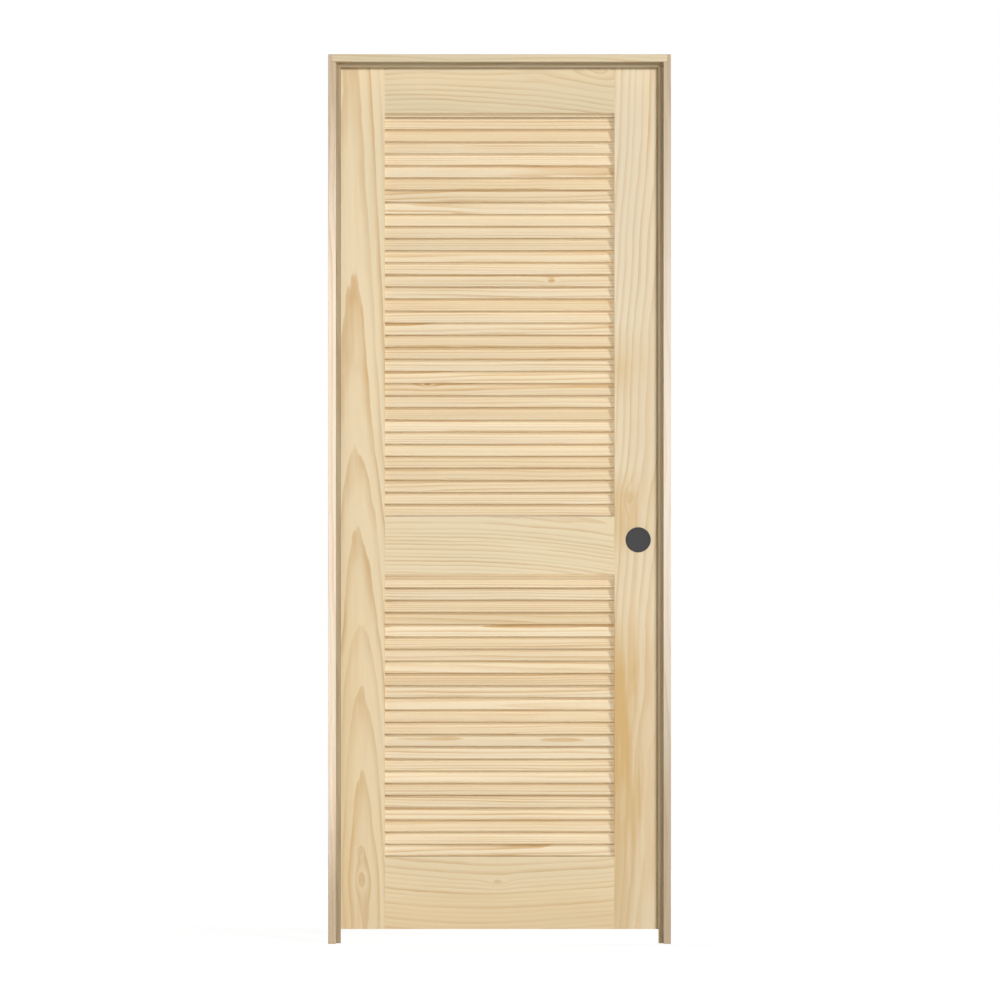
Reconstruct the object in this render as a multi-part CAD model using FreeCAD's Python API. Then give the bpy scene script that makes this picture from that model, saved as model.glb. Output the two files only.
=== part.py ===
import FreeCAD, Part
import math
import os

# Prehung louvred door in a three-board frame, in millimetres.
# +Z is up, the stop side of the frame faces -Y, and the hinges are on the back at -X.
# The origin is on the floor, midway between the jambs and midway through the frame's depth.

# Frame
unit_width = 800.1
unit_height = 2076.45
jamb_thick = 17.5
jamb_depth = 115.9
jamb_easing = 1.5
head_rabbet = 8.75
stop_thick = 11.1
stop_width = 31.75
stop_easing = 2.5
stop_clearance = 0.8

# Slab
slab_thick = 34.9
slab_easing = 1.2
opening_easing = 1.5
edge_gap = 3.2
floor_gap = 32.0
stile_width = 111.1
bottom_rail_height = 170.0
lower_panel_height = 660.0
lock_rail_height = 135.5
upper_panel_height = 944.0

# Slats
slat_width = 36.5
slat_thick = 6.35
slat_tilt = 65.0
slat_set_back = 10.5
slat_housing = 8.0
slat_end_clearance = 0.3
slot_clearance = 0.15
slat_foot_gap = 0.2
slats_in_a_node = 2
upper_slat_count = 34
upper_slat_pitch = 28.305
lower_slat_count = 23
lower_slat_pitch = 28.557
trim_clearance = 0.2

# Dowels
dowel_radius = 6.0
dowel_length = 90.0
dowel_clearance = 0.05
dowel_end_clearance = 1.0
dowel_chamfer = 1.5
top_rail_dowel_offsets = [30.0, 85.0]
lock_rail_dowel_offsets = [20.0, 122.0]
bottom_rail_dowel_offsets = [30.0, 85.0, 140.0]

# Lockset preparation
backset = 55.0
lockset_height = 943.0
lockset_radius = 27.0
latch_radius = 12.7
faceplate_height = 57.2
faceplate_width = 25.4
faceplate_depth = 3.0
strike_width = 29.0
strike_depth = 2.0
mortise_corner = 6.35
cover_radius = 29.4
cover_thick = 2.2
cover_rounding = 0.8

# Hinges
hinge_height = 88.9
leaf_thick = 2.0
leaf_width = 29.0
leaf_corner = 15.9
leaf_clearance = 0.1
barrel_radius = 6.0
barrel_stand_off = 0.5
knuckle_count = 5
knuckle_gap = 0.3
pin_radius = 3.1
pin_clearance = 0.05
pin_head_radius = 5.2
pin_head_height = 4.0
pin_head_rounding = 1.4
pin_tip_recess = 1.5
top_hinge_drop = 177.8
bottom_hinge_rise = 279.4

# Screws, each placed on a leaf by its distance in from the leaf's back edge and its height
screw_places = [(9.0, -31.0), (20.0, 0.0), (9.0, 31.0)]
screw_head_radius = 4.3
screw_head_depth = 1.9
screw_shank_radius = 2.0
screw_tip_length = 4.0
screw_tip_radius = 0.4
screw_clearance = 0.08
screw_sink = 0.1
jamb_screw_length = 15.0
door_screw_length = 25.0
recess_length = 4.6
recess_width = 0.9
recess_depth = 1.2

# Nails and brads
nail = {"shank_radius": 1.25, "head_radius": 2.6, "head_height": 1.0, "length": 44.0, "sink": 0.5}
brad = {"shank_radius": 0.6, "head_radius": 0.9, "head_height": 0.8, "length": 24.0, "sink": 0.3}
driven_clearance = 0.05
nail_places = [-38.0, 0.0, 38.0]
side_brad_count = 5
head_brad_count = 3
brad_end_inset = 150.0

# Places worked out from the sizes above
half_width = unit_width / 2
inner_x = half_width - jamb_thick
slab_x = inner_x - edge_gap
panel_x = slab_x - stile_width
jamb_front = -jamb_depth / 2
jamb_back = jamb_depth / 2
head_bottom = unit_height - jamb_thick
slab_back = jamb_back
slab_front = slab_back - slab_thick
slab_mid = (slab_front + slab_back) / 2
stop_back = slab_front - stop_clearance
stop_front = stop_back - stop_width
stop_mid = (stop_front + stop_back) / 2
side_stop_top = head_bottom - stop_thick
slab_top = head_bottom - edge_gap
lower_panel_bottom = floor_gap + bottom_rail_height
lower_panel_top = lower_panel_bottom + lower_panel_height
upper_panel_bottom = lower_panel_top + lock_rail_height
upper_panel_top = upper_panel_bottom + upper_panel_height
lockset_x = slab_x - backset
hinge_x = -(inner_x + slab_x) / 2
hinge_y = jamb_back + barrel_radius + barrel_stand_off
knuckle_height = (hinge_height - (knuckle_count - 1) * knuckle_gap) / knuckle_count
top_hinge_z = slab_top - top_hinge_drop - hinge_height / 2
bottom_hinge_z = floor_gap + bottom_hinge_rise + hinge_height / 2
middle_hinge_z = (top_hinge_z + bottom_hinge_z) / 2
hinges = {"top": top_hinge_z, "middle": middle_hinge_z, "bottom": bottom_hinge_z}

along_x = FreeCAD.Vector(1, 0, 0)
along_y = FreeCAD.Vector(0, 1, 0)
along_z = FreeCAD.Vector(0, 0, 1)
middle_plane = FreeCAD.Vector(0, 0, 0)


def block(x_range, y_range, z_range):
    """A box between three pairs of limits."""
    corner = FreeCAD.Vector(x_range[0], y_range[0], z_range[0])
    sizes = [high - low for low, high in (x_range, y_range, z_range)]
    return Part.makeBox(*sizes, corner)


def rod(radius, length, start, direction):
    """A cylinder from a start point along a direction."""
    return Part.makeCylinder(radius, length, FreeCAD.Vector(*start), direction)


def edges_along(shape, direction, wanted):
    """The straight edges along a direction whose middle point passes the wanted test."""
    found = []
    for edge in shape.Edges:
        run = edge.Vertexes[-1].Point - edge.Vertexes[0].Point
        if run.Length > 0 and run.normalize().cross(direction).Length < 1e-6:
            if wanted(edge.CenterOfMass):
                found.append(edge)
    return found


def closed_rims(shape, wanted):
    """The circular rims of a round shape whose middle point passes the wanted test."""
    return [edge for edge in shape.Edges if edge.Closed and wanted(edge.CenterOfMass)]


def eased(shape, radius, direction, wanted):
    """The shape with its chosen long edges rounded over."""
    return shape.makeFillet(radius, edges_along(shape, direction, wanted))


def mirrored(shape):
    """The same shape on the other side of the doorway."""
    return shape.mirror(middle_plane, along_x)


def evenly(count, low, high):
    """A number of places spread evenly from low to high."""
    step = (high - low) / (count - 1)
    return [low + step * index for index in range(count)]


# Nails and brads

def driven_solid(sizes, start, direction, grow):
    """A nail or brad with its head at the start point; grow makes the hole for it."""
    shank = rod(sizes["shank_radius"] + grow, sizes["length"], start, direction)
    head = rod(sizes["head_radius"] + grow, sizes["head_height"], start, direction)
    return head.fuse(shank).removeSplitter()


def drive(sizes, surface_point, direction):
    """A nail or brad with its head sunk below a surface, and the hole that it leaves."""
    surface = FreeCAD.Vector(*surface_point)
    sunk = surface + direction * sizes["sink"]
    hole = driven_solid(sizes, sunk, direction, driven_clearance)
    mouth = rod(sizes["head_radius"] + driven_clearance, sizes["sink"], surface, direction)
    return driven_solid(sizes, sunk, direction, 0), hole.fuse(mouth)


frame_nails = []
frame_nail_holes = []
for nail_y in nail_places:
    for side in (-1, 1):
        surface_point = (side * half_width, nail_y, head_bottom + jamb_thick / 2)
        solid, hole = drive(nail, surface_point, along_x * -side)
        frame_nails.append(solid)
        frame_nail_holes.append(hole)

stop_brads = []
stop_brad_holes = []
for side in (-1, 1):
    for brad_z in evenly(side_brad_count, brad_end_inset, side_stop_top - brad_end_inset):
        surface_point = (side * (inner_x - stop_thick), stop_mid, brad_z)
        solid, hole = drive(brad, surface_point, along_x * side)
        stop_brads.append(solid)
        stop_brad_holes.append(hole)
for brad_x in evenly(head_brad_count, brad_end_inset - inner_x, inner_x - brad_end_inset):
    solid, hole = drive(brad, (brad_x, stop_mid, side_stop_top), along_z)
    stop_brads.append(solid)
    stop_brad_holes.append(hole)


# Hinges

def leaf_plate(surface_x, inward, height_z, grow):
    """The flat part of a leaf, let into the wood behind surface_x; grow makes its mortise."""
    x_range = sorted((surface_x, surface_x + inward * leaf_thick))
    y_range = (jamb_back - leaf_width - grow, jamb_back)
    z_range = (height_z - hinge_height / 2 - grow, height_z + hinge_height / 2 + grow)
    plate = block(x_range, y_range, z_range)
    return eased(plate, leaf_corner, along_x, lambda middle: middle.y < jamb_back - leaf_width / 2)


def knuckle_range(index, height_z):
    """The lower and upper ends of one knuckle."""
    low = height_z - hinge_height / 2 + index * (knuckle_height + knuckle_gap)
    return (low, low + knuckle_height)


def screw_axis(surface_x, inward, height_z):
    """Start points and direction of the screws of one leaf."""
    direction = along_x * inward
    starts = [(surface_x, jamb_back - back, height_z + rise) for back, rise in screw_places]
    return starts, direction


def screw_solid(start, direction, length):
    """A countersunk wood screw with a cross recess."""
    top = FreeCAD.Vector(*start) + direction * screw_sink
    head = Part.makeCone(screw_head_radius, screw_shank_radius, screw_head_depth, top, direction)
    shank = rod(screw_shank_radius, length - screw_tip_length, top, direction)
    tip_start = top + direction * (length - screw_tip_length)
    tip = Part.makeCone(screw_shank_radius, screw_tip_radius, screw_tip_length, tip_start, direction)
    screw = head.fuse([shank, tip]).removeSplitter()
    end = top + direction * recess_depth
    x_range = sorted((top.x, end.x))
    for wide_y, wide_z in ((recess_length, recess_width), (recess_width, recess_length)):
        y_range = (top.y - wide_y / 2, top.y + wide_y / 2)
        z_range = (top.z - wide_z / 2, top.z + wide_z / 2)
        screw = screw.cut(block(x_range, y_range, z_range))
    return screw


def screw_hole(start, direction, length):
    """The countersink and pilot hole of a screw, in the leaf and in the wood behind it."""
    top = FreeCAD.Vector(*start)
    mouth = rod(screw_head_radius + screw_clearance, screw_sink, top, direction)
    sink_start = top + direction * screw_sink
    wide = screw_head_radius + screw_clearance
    narrow = screw_shank_radius + screw_clearance
    sink = Part.makeCone(wide, narrow, screw_head_depth, sink_start, direction)
    pilot = rod(narrow, length + screw_sink + screw_clearance, top, direction)
    return mouth.fuse([sink, pilot])


def hinge_leaf(surface_x, inward, height_z, knuckles, length):
    """One leaf: its plate, its share of the knuckles and its countersunk holes."""
    leaf = leaf_plate(surface_x, inward, height_z, 0)
    x_range = sorted((surface_x, surface_x + inward * leaf_thick))
    for index in knuckles:
        z_range = knuckle_range(index, height_z)
        arm = block(x_range, (jamb_back - leaf_width / 2, hinge_y), z_range)
        barrel = rod(barrel_radius, knuckle_height, (hinge_x, hinge_y, z_range[0]), along_z)
        leaf = leaf.fuse([arm, barrel])
    bore_start = (hinge_x, hinge_y, height_z - hinge_height)
    leaf = leaf.cut(rod(pin_radius + pin_clearance, 2 * hinge_height, bore_start, along_z))
    starts, direction = screw_axis(surface_x, inward, height_z)
    holes = [screw_hole(start, direction, length) for start in starts]
    return leaf.cut(holes).removeSplitter()


def hinge_pin(height_z):
    """A loose pin with a button head that rests on the top knuckle."""
    top = height_z + hinge_height / 2
    bottom = height_z - hinge_height / 2 + pin_tip_recess
    shank = rod(pin_radius, top - bottom, (hinge_x, hinge_y, bottom), along_z)
    head = rod(pin_head_radius, pin_head_height, (hinge_x, hinge_y, top), along_z)
    top_rims = closed_rims(head, lambda middle: middle.z > top + pin_head_height / 2)
    head = head.makeFillet(pin_head_rounding, top_rims)
    return shank.fuse(head).removeSplitter()


jamb_surface = -inner_x
door_surface = -slab_x
jamb_knuckles = range(0, knuckle_count, 2)
door_knuckles = range(1, knuckle_count, 2)
jamb_leaves = {}
door_leaves = {}
hinge_pins = {}
jamb_screws = []
door_screws = []
jamb_hinge_cuts = []
door_hinge_cuts = []
for name, height_z in hinges.items():
    jamb_leaves[name] = hinge_leaf(jamb_surface, -1, height_z, jamb_knuckles, jamb_screw_length)
    door_leaves[name] = hinge_leaf(door_surface, 1, height_z, door_knuckles, door_screw_length)
    hinge_pins[name] = hinge_pin(height_z)
    jamb_hinge_cuts.append(leaf_plate(jamb_surface, -1, height_z, leaf_clearance))
    door_hinge_cuts.append(leaf_plate(door_surface, 1, height_z, leaf_clearance))
    starts, direction = screw_axis(jamb_surface, -1, height_z)
    for start in starts:
        jamb_screws.append(screw_solid(start, direction, jamb_screw_length))
        jamb_hinge_cuts.append(screw_hole(start, direction, jamb_screw_length))
    starts, direction = screw_axis(door_surface, 1, height_z)
    for start in starts:
        door_screws.append(screw_solid(start, direction, door_screw_length))
        door_hinge_cuts.append(screw_hole(start, direction, door_screw_length))


# Lockset preparation

def edge_mortise(x_range, width):
    """A shallow pocket with round corners for a faceplate or a strike."""
    y_range = (slab_mid - width / 2, slab_mid + width / 2)
    z_range = (lockset_height - faceplate_height / 2, lockset_height + faceplate_height / 2)
    return eased(block(x_range, y_range, z_range), mortise_corner, along_x, lambda middle: True)


lockset_bore = rod(lockset_radius, slab_thick, (lockset_x, slab_front, lockset_height), along_y)
latch_bore = rod(latch_radius, backset, (lockset_x, slab_mid, lockset_height), along_x)
faceplate_mortise = edge_mortise((slab_x - faceplate_depth, slab_x), faceplate_width)
strike_mortise = edge_mortise((inner_x, inner_x + strike_depth), strike_width)
strike_hole = rod(latch_radius, jamb_thick, (inner_x, slab_mid, lockset_height), along_x)
cover_start = (lockset_x, slab_front - cover_thick, lockset_height)
bore_cover = rod(cover_radius, cover_thick, cover_start, along_y)
front_rims = closed_rims(bore_cover, lambda middle: middle.y < slab_front - cover_thick / 2)
bore_cover = bore_cover.makeFillet(cover_rounding, front_rims)


# Frame boards

def side_jamb():
    """The left side jamb, rabbeted at the top for the head."""
    board = block((-half_width, -inner_x), (jamb_front, jamb_back), (0, unit_height))
    board = eased(board, jamb_easing, along_z, lambda middle: True)
    rabbet_x = (-inner_x - head_rabbet, -inner_x)
    rabbet = block(rabbet_x, (jamb_front, jamb_back), (head_bottom, unit_height))
    return board.cut(rabbet)


hinge_jamb = side_jamb().cut(jamb_hinge_cuts + frame_nail_holes + stop_brad_holes)
strike_cuts = [strike_mortise, strike_hole]
strike_jamb = mirrored(side_jamb()).cut(strike_cuts + frame_nail_holes + stop_brad_holes)
head_reach = inner_x + head_rabbet
head_jamb = block((-head_reach, head_reach), (jamb_front, jamb_back), (head_bottom, unit_height))
head_jamb = eased(head_jamb, jamb_easing, along_x, lambda middle: True)
head_jamb = head_jamb.cut(frame_nail_holes + stop_brad_holes)


def side_stop():
    """The left stop, with its two showing edges eased."""
    x_range = (-inner_x, stop_thick - inner_x)
    stop = block(x_range, (stop_front, stop_back), (0, side_stop_top))
    return eased(stop, stop_easing, along_z, lambda middle: middle.x > stop_thick / 2 - inner_x)


hinge_stop = side_stop().cut(stop_brad_holes)
strike_stop = mirrored(side_stop()).cut(stop_brad_holes)
head_stop = block((-inner_x, inner_x), (stop_front, stop_back), (side_stop_top, head_bottom))
head_stop = eased(head_stop, stop_easing, along_x, lambda middle: middle.z < head_bottom - stop_thick / 2)
head_stop = head_stop.cut(stop_brad_holes)


# Slats

def slat_section(nose_z, grow):
    """The round-edged section of a slat in the YZ plane, lowest at its front nose."""
    radius = slat_thick / 2
    reach = slat_width / 2 - radius
    tilt = math.radians(slat_tilt)
    up_slat = FreeCAD.Vector(0, math.cos(tilt), math.sin(tilt))
    off_slat = FreeCAD.Vector(0, -math.sin(tilt), math.cos(tilt))
    middle_y = slab_front + slat_set_back + radius + reach * math.cos(tilt)
    middle = FreeCAD.Vector(0, middle_y, nose_z + radius + reach * math.sin(tilt))
    radius = radius + grow
    top_end = middle + up_slat * reach
    low_end = middle - up_slat * reach
    upper_face = Part.LineSegment(low_end + off_slat * radius, top_end + off_slat * radius)
    back_edge = Part.Arc(
        top_end + off_slat * radius, top_end + up_slat * radius, top_end - off_slat * radius
    )
    lower_face = Part.LineSegment(top_end - off_slat * radius, low_end - off_slat * radius)
    nose = Part.Arc(
        low_end - off_slat * radius, low_end - up_slat * radius, low_end + off_slat * radius
    )
    outline = [piece.toShape() for piece in (upper_face, back_edge, lower_face, nose)]
    return Part.Face(Part.Wire(outline))


def slat_bar(nose_z, ceiling, grow, half_length):
    """A slat, or the slot for it, cut off under the rail above."""
    section = slat_section(nose_z, grow)
    section.translate(along_x * -half_length)
    bar = section.extrude(along_x * 2 * half_length)
    if bar.BoundBox.ZMax > ceiling:
        room = block(
            (-2 * half_length, 2 * half_length), (slab_front, slab_back), (nose_z - slat_thick, ceiling)
        )
        bar = bar.common(room)
    return bar


def slat_noses(panel_bottom, count, pitch):
    """The height of each slat's nose, from the lowest slat up."""
    return [panel_bottom + slat_foot_gap + index * pitch for index in range(count)]


panels = {
    "upper": (upper_panel_bottom, upper_panel_top, upper_slat_count, upper_slat_pitch),
    "lower": (lower_panel_bottom, lower_panel_top, lower_slat_count, lower_slat_pitch),
}
slot_half_length = panel_x + slat_housing
slat_half_length = slot_half_length - slat_end_clearance
slats = {}
slots = []
for panel, (panel_bottom, panel_top, count, pitch) in panels.items():
    slats[panel] = []
    for nose_z in slat_noses(panel_bottom, count, pitch):
        slats[panel].append(slat_bar(nose_z, panel_top - trim_clearance, 0, slat_half_length))
        slots.append(slat_bar(nose_z, panel_top, slot_clearance, slot_half_length))


# Dowelled joints of the slab

def rail_dowels(rail_bottom, offsets):
    """The dowels of one rail, and the holes for them, at both ends of the rail."""
    dowels = []
    holes = []
    for offset in offsets:
        for side in (-1, 1):
            start_x = side * panel_x - dowel_length / 2
            start = (start_x, slab_mid, rail_bottom + offset)
            dowel = rod(dowel_radius, dowel_length, start, along_x)
            dowels.append(dowel.makeChamfer(dowel_chamfer, closed_rims(dowel, lambda middle: True)))
            hole_start = (start_x - dowel_end_clearance, slab_mid, rail_bottom + offset)
            hole_length = dowel_length + 2 * dowel_end_clearance
            holes.append(rod(dowel_radius + dowel_clearance, hole_length, hole_start, along_x))
    return dowels, holes


top_dowels, top_dowel_holes = rail_dowels(upper_panel_top, top_rail_dowel_offsets)
lock_dowels, lock_dowel_holes = rail_dowels(lower_panel_top, lock_rail_dowel_offsets)
bottom_dowels, bottom_dowel_holes = rail_dowels(floor_gap, bottom_rail_dowel_offsets)
dowel_holes = top_dowel_holes + lock_dowel_holes + bottom_dowel_holes


# Stiles and rails

def opening_corner(low, high, face_y, inward):
    """What rounding takes off one edge of the left stile along an opening."""
    depths = sorted([face_y, face_y + inward * opening_easing])
    corner = block((-panel_x - opening_easing, -panel_x), depths, (low, high))
    centre = (-panel_x - opening_easing, face_y + inward * opening_easing, low)
    return corner.cut(rod(opening_easing, high - low, centre, along_z))


opening_corners = []
for low, high in ((lower_panel_bottom, lower_panel_top), (upper_panel_bottom, upper_panel_top)):
    opening_corners.append(opening_corner(low, high, slab_front, 1))
    opening_corners.append(opening_corner(low, high, slab_back, -1))


def stile():
    """The left stile, with its edges eased and its slat slots and dowel holes cut."""
    upright = block((-slab_x, -panel_x), (slab_front, slab_back), (floor_gap, slab_top))
    upright = eased(upright, slab_easing, along_z, lambda middle: middle.x < -(slab_x + panel_x) / 2)
    return upright.cut(slots + dowel_holes + opening_corners)


def rail(low, high, holes):
    """A rail between the stiles, eased along the openings."""
    bar = block((-panel_x, panel_x), (slab_front, slab_back), (low, high))
    inner_edges = [z for z in (low, high) if floor_gap < z < slab_top]
    bar = eased(bar, opening_easing, along_x, lambda middle: any(abs(middle.z - z) < 1 for z in inner_edges))
    return bar.cut(holes)


hinge_stile = stile().cut(door_hinge_cuts)
lock_stile = mirrored(stile()).cut([lockset_bore, latch_bore, faceplate_mortise])
top_rail = rail(upper_panel_top, slab_top, top_dowel_holes)
lock_rail = rail(lower_panel_top, upper_panel_bottom, lock_dowel_holes)
bottom_rail = rail(floor_gap, lower_panel_bottom, bottom_dowel_holes)


# One node for each piece, and one for each group of like fasteners

nodes = {
    "hinge_jamb": [hinge_jamb],
    "strike_jamb": [strike_jamb],
    "head_jamb": [head_jamb],
    "hinge_stop": [hinge_stop],
    "strike_stop": [strike_stop],
    "head_stop": [head_stop],
    "frame_nails": frame_nails,
    "stop_brads": stop_brads,
    "jamb_leaf_screws": jamb_screws,
    "door_leaf_screws": door_screws,
    "hinge_stile": [hinge_stile],
    "lock_stile": [lock_stile],
    "top_rail": [top_rail],
    "lock_rail": [lock_rail],
    "bottom_rail": [bottom_rail],
    "top_rail_dowels": top_dowels,
    "lock_rail_dowels": lock_dowels,
    "bottom_rail_dowels": bottom_dowels,
    "bore_cover": [bore_cover],
}
for name in hinges:
    nodes["jamb_leaf_" + name] = [jamb_leaves[name]]
    nodes["door_leaf_" + name] = [door_leaves[name]]
    nodes["hinge_pin_" + name] = [hinge_pins[name]]
for panel, bars in slats.items():
    for first in range(0, len(bars), slats_in_a_node):
        number = first // slats_in_a_node + 1
        nodes[f"{panel}_slats_{number:02d}"] = bars[first:first + slats_in_a_node]

os.makedirs("parts", exist_ok=True)
for name, solids in nodes.items():
    shape = solids[0] if len(solids) == 1 else Part.makeCompound(solids)
    if not shape.isValid() or len(shape.Solids) != len(solids):
        raise ValueError(f"{name} is not {len(solids)} valid solids")
    shape.exportStep(os.path.join("parts", name + ".step"))
print(len(nodes), "nodes")
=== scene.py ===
"""Looks of a prehung louvred pine door: wood, slats, screws, hinge metal, bore cover and stage."""
import math
from dataclasses import dataclass

import bmesh
import bpy
from bpy.props import FloatProperty, FloatVectorProperty, IntProperty, PointerProperty
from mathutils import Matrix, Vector


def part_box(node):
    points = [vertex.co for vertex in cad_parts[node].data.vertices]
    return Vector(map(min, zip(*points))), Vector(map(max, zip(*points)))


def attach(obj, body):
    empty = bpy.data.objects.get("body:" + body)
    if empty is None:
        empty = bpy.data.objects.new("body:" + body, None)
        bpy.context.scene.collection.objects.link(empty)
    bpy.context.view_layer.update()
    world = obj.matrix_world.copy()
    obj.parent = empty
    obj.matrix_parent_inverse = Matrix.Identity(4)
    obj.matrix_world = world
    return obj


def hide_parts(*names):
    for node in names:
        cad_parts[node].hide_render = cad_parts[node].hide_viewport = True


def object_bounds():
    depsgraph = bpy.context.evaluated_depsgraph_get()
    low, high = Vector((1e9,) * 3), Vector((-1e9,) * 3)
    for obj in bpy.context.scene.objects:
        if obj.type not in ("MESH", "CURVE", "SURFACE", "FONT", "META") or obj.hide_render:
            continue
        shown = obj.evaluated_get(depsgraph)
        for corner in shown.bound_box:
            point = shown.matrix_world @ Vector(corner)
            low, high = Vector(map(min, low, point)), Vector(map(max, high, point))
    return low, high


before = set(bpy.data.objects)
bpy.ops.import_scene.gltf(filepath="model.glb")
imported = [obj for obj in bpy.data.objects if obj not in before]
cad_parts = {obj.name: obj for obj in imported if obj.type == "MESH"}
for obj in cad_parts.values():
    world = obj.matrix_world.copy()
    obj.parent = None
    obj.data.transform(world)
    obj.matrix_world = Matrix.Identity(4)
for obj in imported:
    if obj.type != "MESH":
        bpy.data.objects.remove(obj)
cad_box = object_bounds()

bl_info = {
    "name": "Louvred pine door",
    "version": (1, 0, 0),
    "blender": (4, 5, 0),
    "location": "3D View > Sidebar > Louvred door",
    "description": "Finishes a prehung louvred pine door and sets its stage",
    "category": "Object",
}

MM = 0.001

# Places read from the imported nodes, in metres.
slab_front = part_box("hinge_stile")[0].y
upper_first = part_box("upper_slats_01")
upper_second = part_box("upper_slats_02")
lower_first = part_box("lower_slats_01")
lower_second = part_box("lower_slats_02")
SLATS_IN_A_NODE = 2
SCREWS_IN_A_LEAF = 3
STOPS = ("hinge_stop", "strike_stop", "head_stop")
FRAME_BOARDS = ("hinge_jamb", "strike_jamb", "head_jamb") + STOPS
SLAB_BOARDS = ("hinge_stile", "lock_stile", "top_rail", "lock_rail", "bottom_rail")
DOWELS = ("top_rail_dowels", "lock_rail_dowels", "bottom_rail_dowels")
HINGES = ("top", "middle", "bottom")


class Value:
    """One socket's number, which takes part in plain arithmetic by adding maths nodes."""

    def __init__(self, sheet, socket):
        self.sheet = sheet
        self.socket = socket

    def __add__(self, other):
        return self.sheet.maths("ADD", self, other)

    def __sub__(self, other):
        return self.sheet.maths("SUBTRACT", self, other)

    def __rsub__(self, other):
        return self.sheet.maths("SUBTRACT", other, self)

    def __mul__(self, other):
        return self.sheet.maths("MULTIPLY", self, other)

    def __truediv__(self, other):
        return self.sheet.maths("DIVIDE", self, other)

    def __rtruediv__(self, other):
        return self.sheet.maths("DIVIDE", other, self)

    def __pow__(self, other):
        return self.sheet.maths("POWER", self, other)

    __radd__ = __add__
    __rmul__ = __mul__


class Sheet:
    """A node tree filled from Python, for a finish or for a rule that lays out pieces."""

    def __init__(self, tree):
        self.tree = tree

    def node(self, kind, settings=None, inputs=None, output=0):
        """Adds a node, its settings before its sockets, and gives back one of its outputs."""
        made = self.tree.nodes.new(kind)
        for name, setting in (settings or {}).items():
            if name == "stops":
                self.set_stops(made.color_ramp, setting)
            else:
                setattr(made, name, setting)
        for name, value in (inputs or {}).items():
            if isinstance(value, Value):
                self.tree.links.new(value.socket, made.inputs[name])
            else:
                made.inputs[name].default_value = value
        return Value(self, made.outputs[output])

    @staticmethod
    def set_stops(ramp, stops):
        """Gives a ramp grey stops from pairs of place and brightness."""
        while len(ramp.elements) < len(stops):
            ramp.elements.new(0.5)
        for element, (place, grey) in zip(ramp.elements, stops):
            element.position = place
            element.color = (grey, grey, grey, 1.0)

    def maths(self, operation, *values):
        return self.node("ShaderNodeMath", {"operation": operation}, dict(enumerate(values)))

    def vector_maths(self, operation, *values):
        return self.node("ShaderNodeVectorMath", {"operation": operation}, dict(enumerate(values)))

    def scaled(self, vector, factor):
        """A colour or vector times a number."""
        return self.node("ShaderNodeVectorMath", {"operation": "SCALE"}, {0: vector, "Scale": factor})

    def joined(self, x, y, z):
        return self.node("ShaderNodeCombineXYZ", None, {"X": x, "Y": y, "Z": z})

    def parts(self, vector):
        """The three numbers of a vector."""
        first = self.node("ShaderNodeSeparateXYZ", None, {"Vector": vector})
        return [Value(self, out) for out in first.socket.node.outputs]

    def blend(self, factor, first, second):
        """From the first colour to the second by a factor of 0 to 1."""
        sockets = {0: factor, 6: first, 7: second}
        return self.node("ShaderNodeMix", {"data_type": "RGBA", "clamp_factor": True}, sockets, output=2)

    def ramp(self, value, stops):
        """Follows grey stops from place to place."""
        return self.node("ShaderNodeValToRGB", {"stops": stops}, {"Fac": value})

    def rise(self, value, start, end):
        """A smooth step from 0 at start to 1 at end."""
        sockets = {"Value": value, "From Min": start, "From Max": end}
        return self.node("ShaderNodeMapRange", {"interpolation_type": "SMOOTHSTEP"}, sockets)

    def drift(self, place):
        """A slow wander along a line, from -0.5 to 0.5."""
        sockets = {"W": place, "Scale": 1, "Detail": 1}
        return self.node("ShaderNodeTexNoise", {"noise_dimensions": "1D"}, sockets) - 0.5

    def cloud(self, x, y, z, detail=1):
        """A soft random field in space, from -0.5 to 0.5."""
        sockets = {"Vector": self.joined(x, y, z), "Scale": 1, "Detail": detail}
        return self.node("ShaderNodeTexNoise", None, sockets) - 0.5

    def uneven(self, place, reach, seed, detail=1):
        """A soft random field in wood, by its reach along the grain, across it and through the board."""
        along, across, depth = (at / far for at, far in zip(place, reach))
        return self.cloud(along + seed, across, depth, detail)

    def chance(self, number):
        """A random number from 0 to 1 for each whole number."""
        return self.node("ShaderNodeTexWhiteNoise", {"noise_dimensions": "1D"}, {"W": number})


class Finish(Sheet):
    """A material under construction, with its surface shader ready."""

    def __init__(self, name, **constants):
        self.material = bpy.data.materials.new(name)
        self.material.use_nodes = True
        super().__init__(self.material.node_tree)
        self.surface = next(n for n in self.tree.nodes if n.type == "BSDF_PRINCIPLED")
        for socket, value in constants.items():
            self.surface.inputs[socket.replace("_", " ")].default_value = value

    def feed(self, socket, value):
        """Links a changing value to the surface."""
        self.tree.links.new(value.socket, self.surface.inputs[socket])

    def place(self):
        """Object coordinates in millimetres, as three numbers."""
        coordinates = self.node("ShaderNodeTexCoord", output="Object")
        return [number * 1000 for number in self.parts(coordinates)]

    def facing(self):
        """The direction of the surface in the object's own axes, as three numbers."""
        return self.parts(self.node("ShaderNodeTexCoord", output="Normal"))

    def attribute(self, name):
        """The three numbers of a vector stored on the mesh."""
        return self.parts(self.node("ShaderNodeAttribute", {"attribute_name": name}, output="Vector"))

    def bump(self, height, depth, strength):
        sockets = {"Height": height, "Distance": depth, "Strength": strength}
        self.feed("Normal", self.node("ShaderNodeBump", None, sockets))


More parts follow.
